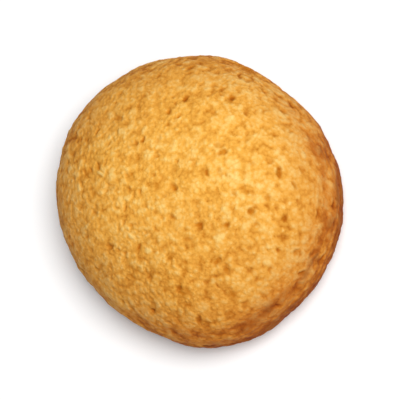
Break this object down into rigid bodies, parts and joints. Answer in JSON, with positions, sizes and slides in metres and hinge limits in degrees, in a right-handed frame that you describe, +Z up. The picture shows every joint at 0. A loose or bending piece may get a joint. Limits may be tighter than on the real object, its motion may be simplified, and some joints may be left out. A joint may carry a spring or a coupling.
{
  "type": "oatmeal cookie",
  "caption": "Round domed oatmeal cookie, baked in one piece, with a flat base, a rounded side, a crease under the crown and a golden, crumbly, finely pitted crust.",
  "frame": {"origin": "middle of the cookie's bounding box at the level of its flat base", "axes": "+Z up, out of the middle of the crown; the cookie is nearly round, so X and Y have no meaning of their own"},
  "size_m": [0.0604, 0.061, 0.0253],
  "materials": {
    "crust": "matte"
  },
  "bodies": {
    "root": {"cookie": "crust"}
  },
  "joints": []
}
